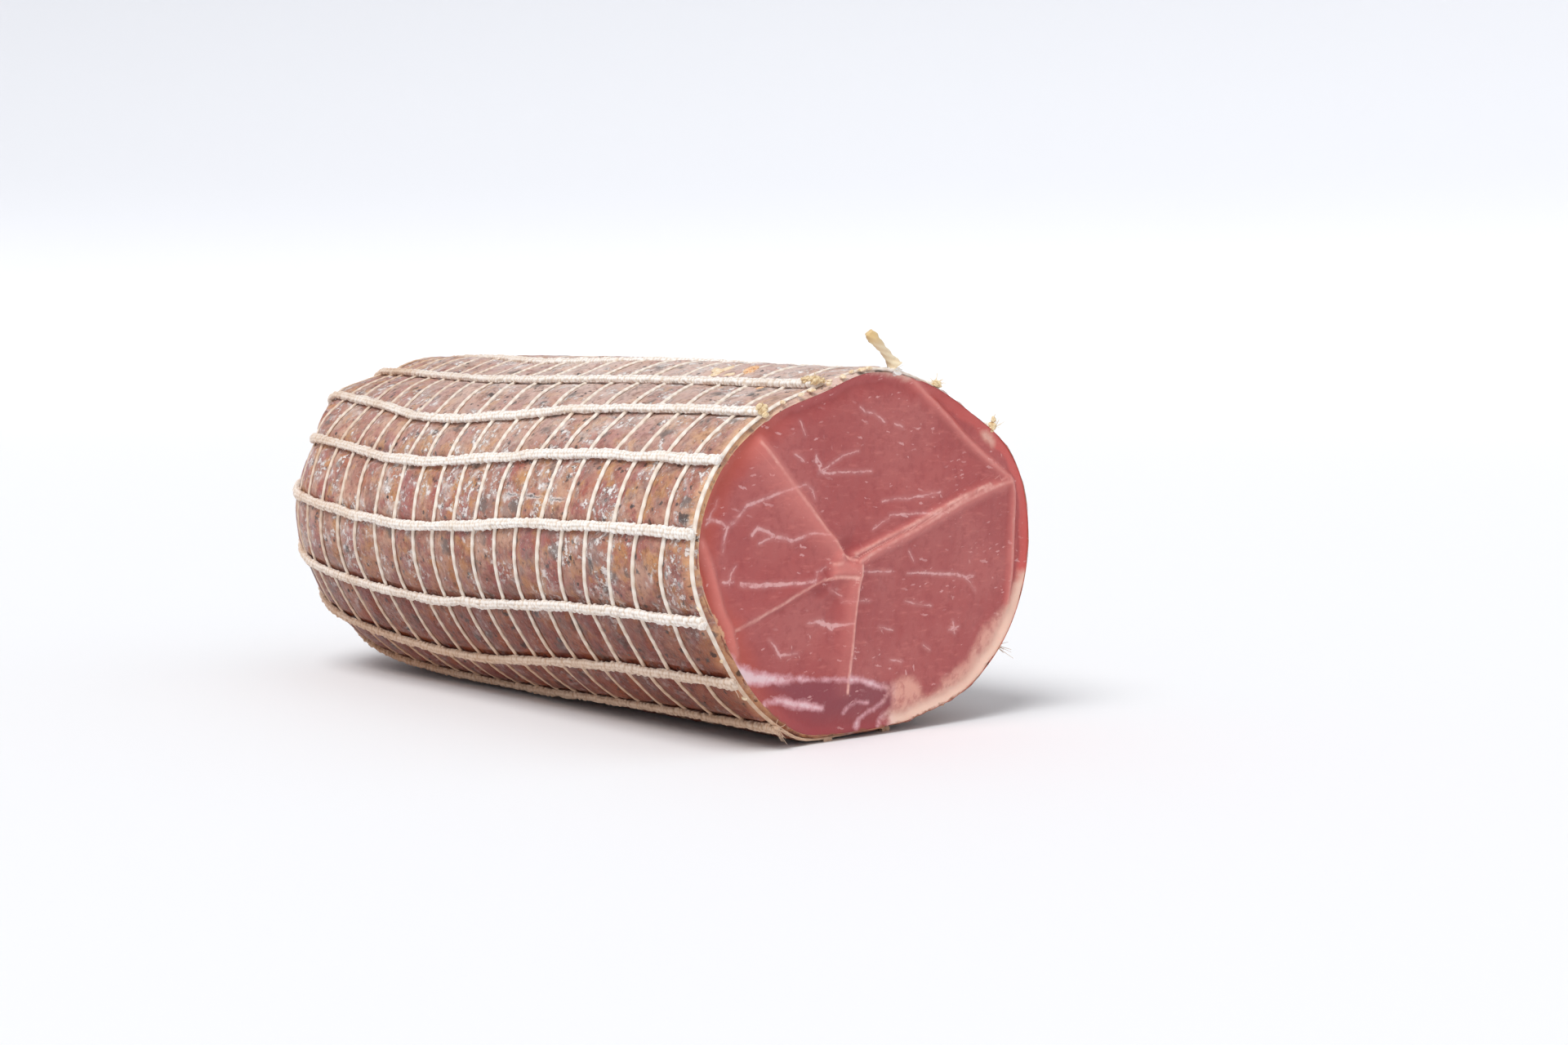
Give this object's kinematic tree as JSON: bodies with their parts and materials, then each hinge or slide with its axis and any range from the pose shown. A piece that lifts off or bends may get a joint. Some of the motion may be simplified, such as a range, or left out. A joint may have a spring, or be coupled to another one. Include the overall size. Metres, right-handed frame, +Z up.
{
  "type": "cured pork loin",
  "caption": "Cut length of cured pork loin, oval in section, with a marbled cut face, a rounded far end and tight string netting with a cut cord standing up at the rim.",
  "frame": {"origin": "middle of the bottom of the whole part's bounding box, on the surface that it rests on", "axes": "+Z up, the meat's length along Y with its cut face towards -Y and its rounded far end towards +Y"},
  "size_m": [0.1168, 0.2264, 0.0996],
  "materials": {
    "cured_meat": "moist cured pork, rosy lean with fine marbling, drier brownish pink skin dusted with spice and white bloom",
    "net_yarn": "matt undyed cotton and elastic yarn, chain stitched"
  },
  "bodies": {
    "root": {"loin": "cured_meat", "netting": "net_yarn", "cord_end": "net_yarn"}
  },
  "joints": []
}
